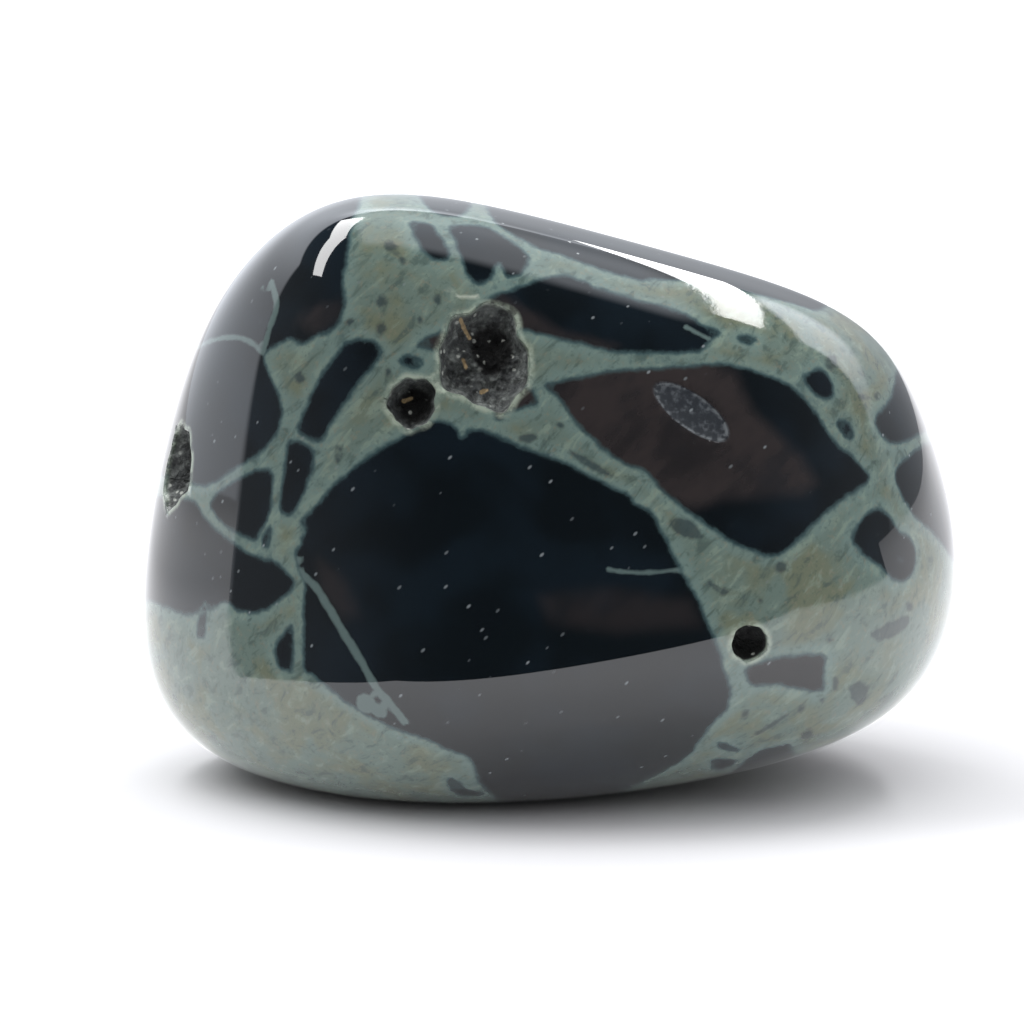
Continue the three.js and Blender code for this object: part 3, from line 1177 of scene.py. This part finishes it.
def make_stone_material():
    material = bpy.data.materials.new("spider_obsidian")
    material.use_nodes = True
    n = Nodes(material.node_tree)
    shader = material.node_tree.nodes["Principled BSDF"]
    where = stone_millimetres(n)
    jitter = n.noise(where, 2.2, 4.0, 0.65)
    fine = n.noise(where, 4.6, 3.0, 0.65)
    wave = n.ramp(jitter, 0.2, 0.8, -EDGE_WAVE, EDGE_WAVE, smooth=False)
    patchy = n.ramp(jitter, 0.40, 0.60, 0.25, 1.0)
    glass = n.attribute("glass")
    crust = n.attribute("crust")
    chip = n.ramp(n.attribute("chip"), *CHIP_EDGE)
    depth = n.math("ADD", glass, wave)
    dust = specks(n, where, depth)

    colour = scarred(n, breccia_colour(n, where, depth, wave, fine), wave, patchy)
    colour = n.mix(n.ramp(crust, *CRUST_EDGE), colour, crust_colour(n, where))
    colour = n.mix(n.times(chip, 0.9), colour, chip_colour(n, fine))
    colour = n.mix(n.times(dust, 0.7), colour, seen("dust"))

    rough = n.ramp(depth, 0.05, -0.3, GLASS_ROUGHNESS, MATRIX_ROUGHNESS)
    rough = n.ramp(crust, 0.2, 0.6, rough, CRUST_ROUGHNESS)
    rough = n.math("MAXIMUM", rough, n.times(chip, CHIP_ROUGHNESS))
    rough = n.math("MAXIMUM", rough, n.times(dust, DUST_ROUGHNESS))

    matrix_relief = n.times(n.ramp(glass, -0.05, -0.3), MATRIX_RELIEF)
    relief = n.math("MAXIMUM", matrix_relief, n.times(crust, CRUST_RELIEF))
    height = n.times(fine, relief, MM)
    bump = n.add("ShaderNodeBump", {"Height": height, "Strength": 1.0, "Distance": 1.0})

    n.feed(shader.inputs["Base Color"], colour)
    n.feed(shader.inputs["Roughness"], rough)
    n.feed(shader.inputs["Normal"], bump.outputs["Normal"])
    shader.inputs["IOR"].default_value = GLASS_IOR
    return material


def add_object(name, data):
    item = bpy.data.objects.new(name, data)
    bpy.context.scene.collection.objects.link(item)
    return item


def make_stone():
    mesh = make_stone_mesh()
    stone = add_object("tumbled_stone", mesh)
    mesh.materials.append(make_stone_material())
    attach(stone, "root")
    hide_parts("stone")


# The studio

def cool(level):
    """A faintly blue white of a level."""
    return tuple(level * share for share in COOL_WHITE)


def make_floor():
    mesh = bpy.data.meshes.new("floor")
    mesh.from_pydata([Vector((x, y, 0)) * MM for x, y in TABLE], [], [tuple(range(len(TABLE)))])
    floor = add_object("floor", mesh)
    material = bpy.data.materials.new("white_table")
    material.use_nodes = True
    n = Nodes(material.node_tree)
    shader = material.node_tree.nodes["Principled BSDF"]
    path = n.add("ShaderNodeLightPath").outputs
    length = n.add("ShaderNodeVectorMath", operation="LENGTH")
    n.feed(length.inputs[0], stone_millimetres(n))
    # Painted shade: the table that the polish mirrors darkens with the distance from the stone
    far = n.ramp(length.outputs["Value"], *TABLE_FADES)
    mirrored = n.mix(far, cool(TABLE_WHITE), cool(TABLE_MIRRORED_FAR))
    white = n.mix(path["Is Glossy Ray"], cool(TABLE_WHITE), mirrored)
    n.feed(shader.inputs["Base Color"], n.mix(path["Is Camera Ray"], white, cool(TABLE_SEEN)))
    shader.inputs["Roughness"].default_value = 0.7
    shader.inputs["Specular IOR Level"].default_value = 0.0
    mesh.materials.append(material)


def mirrored_walls(n, x, y, z, across, back):
    """The tent's walls: bright from the horizon up to a slanting edge on each side, and behind."""
    right_share = n.times(n.math("MAXIMUM", x, 0.0), 0.22)
    behind = n.ramp(n.math("SUBTRACT", y, right_share), -0.035, 0.035)
    left_lean = n.math("SUBTRACT", across, n.times(back, 1.35))
    left_wall = n.ramp(left_lean, -1.28, -1.42)
    bend = n.math("POWER", n.math("MAXIMUM", n.math("SUBTRACT", 1.0, back), 0.0), 2.0)
    right_edge = n.math("SUBTRACT", across, n.times(bend, 0.4))
    right_wall = n.ramp(right_edge, 0.46, 0.54)
    back_wall = n.ramp(back, 1.40, 1.65)
    walls = n.math("MAXIMUM", n.math("MAXIMUM", left_wall, right_wall), back_wall)

    left_level = n.times(n.ramp(z, 0.3, 0.7, 1.9, 3.3), n.ramp(y, 0.1, 0.8, 1.12, 0.92))
    edge_glow = n.times(n.ramp(right_edge, 0.56, 0.46, 0.0, 3.5), n.ramp(back, 1.2, 1.0))
    edge_glow = n.times(edge_glow, n.ramp(z, 0.5, 0.65))
    right_level = n.math("ADD", n.ramp(z, 0.05, 0.75, 0.55, 5.0), edge_glow)
    right_level = n.ramp(back, 1.0, 1.5, right_level, n.ramp(z, 0.0, 0.6, 0.5, 1.5))
    return n.times(walls, behind, n.ramp(x, -0.35, 0.2, left_level, right_level))


def mirrored_ceiling(n, z, across, back):
    """The bright panel overhead, dimmer towards the back."""
    wide = n.times(n.ramp(across, -0.30, -0.18), n.ramp(across, 0.40, 0.34))
    deep = n.times(n.ramp(back, -0.32, -0.12), n.ramp(back, 1.75, 1.6))
    return n.times(wide, deep, n.ramp(z, 0.2, 0.3), n.ramp(back, 0.5, 1.1, 2.3, 1.1))


def mirrored_studio(n, x, y, z):
    """What the polish mirrors: a white tent behind and beside the stone, and a dark room in front.

    Its openings are laid out on a ceiling one unit above the stone, across and back.
    """
    up = n.math("MAXIMUM", z, LEAST_HEIGHT)
    across = n.math("DIVIDE", x, up)
    back = n.math("DIVIDE", y, up)
    walls = mirrored_walls(n, x, y, z, across, back)
    ceiling = mirrored_ceiling(n, z, across, back)
    room = n.math("ADD", n.times(x, x, ROOM_SIDES), ROOM_FRONT)
    bright = n.math("MAXIMUM", n.math("MAXIMUM", walls, ceiling), room)
    return n.scaled(MIRROR_TINT, bright)


def make_world():
    world = bpy.data.worlds.new("studio")
    bpy.context.scene.world = world
    world.use_nodes = True
    n = Nodes(world.node_tree)
    away = n.add("ShaderNodeTexCoord").outputs["Generated"]
    x, y, z = n.add("ShaderNodeSeparateXYZ", {"Vector": away}).outputs
    path = n.add("ShaderNodeLightPath").outputs
    horizon = n.mix(n.ramp(y, -0.8, 0.8), HORIZON_FRONT, HORIZON_BACK)
    soft_light = n.mix(n.ramp(z, 0.0, 1.0, smooth=False), horizon, ZENITH)
    colour = n.mix(path["Is Glossy Ray"], soft_light, mirrored_studio(n, x, y, z))
    colour = n.mix(path["Is Camera Ray"], colour, BACKDROP)
    n.feed(world.node_tree.nodes["Background"].inputs["Color"], colour)


def make_strip(name, middle, length, width, turn, radiance):
    light = bpy.data.lights.new(name, "AREA")
    light.shape = "RECTANGLE"
    light.size = length * CEILING * MM
    light.size_y = width * CEILING * MM
    light.energy = radiance * math.pi * light.size * light.size_y
    strip = add_object(name, light)
    place = Vector((middle[0] * CEILING, middle[1] * CEILING, CENTRE[2] + CEILING))
    strip.location = place * MM
    strip.rotation_euler = (0, 0, math.radians(turn))


def make_camera():
    data = bpy.data.cameras.new("portrait")
    data.sensor_width = SENSOR_WIDTH
    data.lens = SENSOR_WIDTH * CAMERA_DISTANCE / (PICTURE_PIXELS * PIXEL)
    data.clip_start = CLIP_NEAR * MM
    data.clip_end = CLIP_FAR * MM
    camera = add_object("portrait", data)
    camera.location = Vector(EYE) * MM
    camera.rotation_mode = "QUATERNION"
    camera.rotation_quaternion = Vector(VIEW_BACK).to_track_quat("Z", "Y")
    bpy.context.scene.camera = camera


make_stone()
make_floor()
make_world()
for name, strip in STRIPS.items():
    make_strip(name, *strip)
make_camera()
bpy.context.scene.view_settings.view_transform = "Standard"
